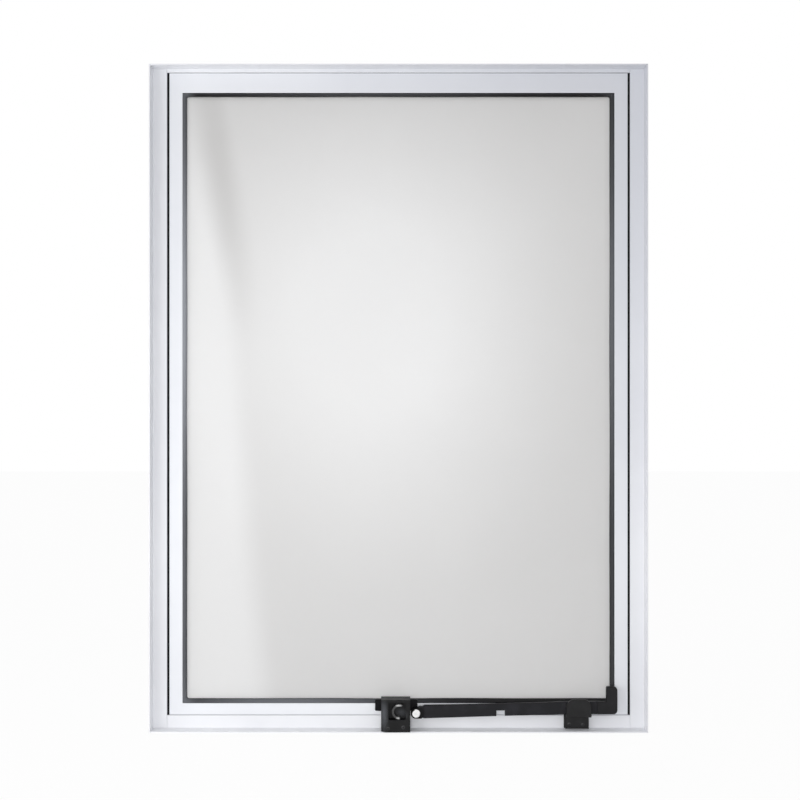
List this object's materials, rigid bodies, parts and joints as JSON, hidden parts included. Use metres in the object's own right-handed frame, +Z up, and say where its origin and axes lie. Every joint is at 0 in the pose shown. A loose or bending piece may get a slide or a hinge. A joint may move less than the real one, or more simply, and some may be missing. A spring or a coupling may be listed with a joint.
{
  "type": "top hung awning window",
  "caption": "Room side of an aluminium top hung awning window: outward sash with an obscure pane, black gasket, and a black push-bar stay with guide, keeper and L-shaped grip.",
  "frame": {"origin": "middle of the sill's flat underside, in line with the room face of the frame", "axes": "+X to the right as seen from the room, +Y out of doors through the pane, +Z up the height of the frame"},
  "size_m": [0.6, 0.0696, 0.804],
  "materials": {
    "frame_aluminium": "satin off-white powder coat",
    "sash_aluminium": "satin off-white powder coat",
    "pane_glass": "obscure, satin, pale grey",
    "gasket_rubber": "matt black",
    "seal_rubber": "matt black",
    "bright_pin": "bright",
    "guide_black": "satin black",
    "black_plastic": "satin black",
    "bar_black": "satin black"
  },
  "bodies": {
    "window": {"frame_head": "frame_aluminium", "frame_left_jamb": "frame_aluminium", "frame_right_jamb": "frame_aluminium", "frame_sill": "frame_aluminium", "glass_pane": "pane_glass", "glazing_bead_bottom": "sash_aluminium", "glazing_bead_left": "sash_aluminium", "glazing_bead_right": "sash_aluminium", "glazing_bead_top": "sash_aluminium", "guide_hook": "guide_black", "guide_housing": "guide_black", "inner_gasket_bottom": "gasket_rubber", "inner_gasket_left": "gasket_rubber", "inner_gasket_right": "gasket_rubber", "inner_gasket_top": "gasket_rubber", "keeper_clip": "black_plastic", "keeper_plate": "black_plastic", "outer_gasket_bottom": "gasket_rubber", "outer_gasket_left": "gasket_rubber", "outer_gasket_right": "gasket_rubber", "outer_gasket_top": "gasket_rubber", "pivot_pin": "bright_pin", "sash_bottom_rail": "sash_aluminium", "sash_bracket": "bar_black", "sash_left_stile": "sash_aluminium", "sash_right_stile": "sash_aluminium", "sash_top_rail": "sash_aluminium", "setting_blocks": "seal_rubber", "weather_seal_head": "seal_rubber", "weather_seal_left": "seal_rubber", "weather_seal_right": "seal_rubber", "weather_seal_sill": "seal_rubber"},
    "stay": {"stay_bar": "bar_black", "bar_grip": "black_plastic"}
  },
  "joints": [
    {"name": "bar_pivot", "type": "hinge", "parent": "window", "child": "stay", "pos_m": [0.02105, -0.009, 0.0216], "axis": [0, -1, 0], "range_deg": [0, 75]}
  ]
}
